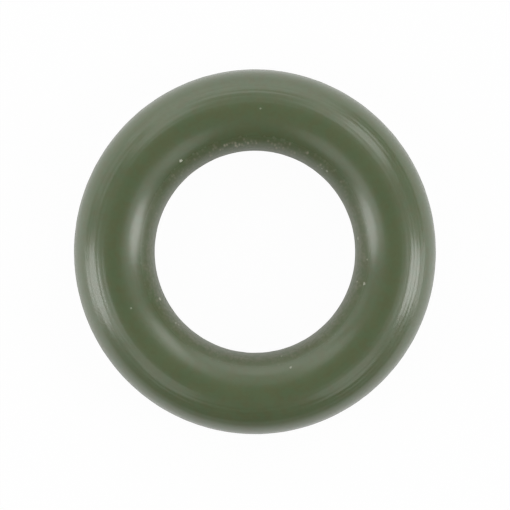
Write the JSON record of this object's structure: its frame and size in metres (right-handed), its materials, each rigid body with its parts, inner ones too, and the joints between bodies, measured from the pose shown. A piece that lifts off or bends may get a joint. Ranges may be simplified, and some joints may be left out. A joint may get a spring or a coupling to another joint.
{
  "type": "o-ring",
  "caption": "Green rubber o-ring of round section with a fine parting-line bead, seated on a shaft or in a groove to seal a pipe, valve or heating joint.",
  "frame": {"origin": "centre of the ring, on its axis and on the plane where the two halves of its mould met, halfway up its thickness", "axes": "+Z along the ring's axis; X and Y lie in the ring's plane, and it is the same all round"},
  "size_m": [0.009, 0.009, 0.002],
  "materials": {
    "green_rubber": "satin"
  },
  "bodies": {
    "root": {"o_ring": "green_rubber"}
  },
  "joints": []
}
